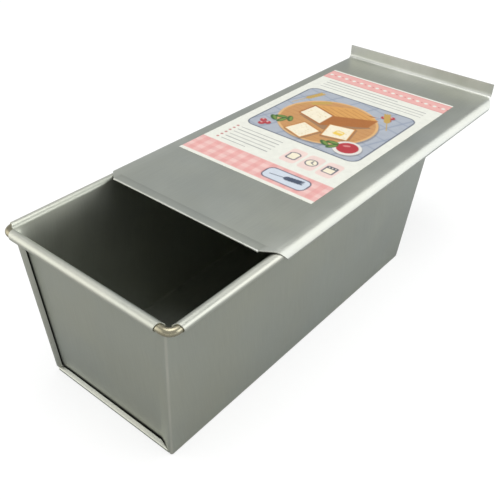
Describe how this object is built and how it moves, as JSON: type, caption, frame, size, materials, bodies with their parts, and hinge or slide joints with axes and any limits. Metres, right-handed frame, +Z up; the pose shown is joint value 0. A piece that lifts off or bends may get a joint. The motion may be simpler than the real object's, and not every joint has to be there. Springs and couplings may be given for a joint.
{
  "type": "pullman loaf pan",
  "caption": "Folded sheet metal loaf pan with a wired rim and a slide-on lid that squares off the top of the loaf.",
  "frame": {"origin": "centre of the pan's underside, on the surface it stands on", "axes": "+X along the pan towards the lid's pull lip, +Y across the pan, +Z up"},
  "size_m": [0.298, 0.1148, 0.101],
  "materials": {
    "pan_sheet": "satin aluminised sheet",
    "wire": "drawn wire",
    "lid_sheet": "satin aluminised sheet",
    "label": "printed paper"
  },
  "bodies": {
    "pan": {"floor": "pan_sheet", "front_wall": "pan_sheet", "back_wall": "pan_sheet", "left_end": "pan_sheet", "right_end": "pan_sheet", "rim_wire": "wire"},
    "lid": {"lid": "lid_sheet", "label": "label"}
  },
  "joints": [
    {"name": "lid_slide", "type": "slide", "parent": "pan", "child": "lid", "axis": [1, 0, 0], "range_m": [-0.0655, 0.13]}
  ]
}
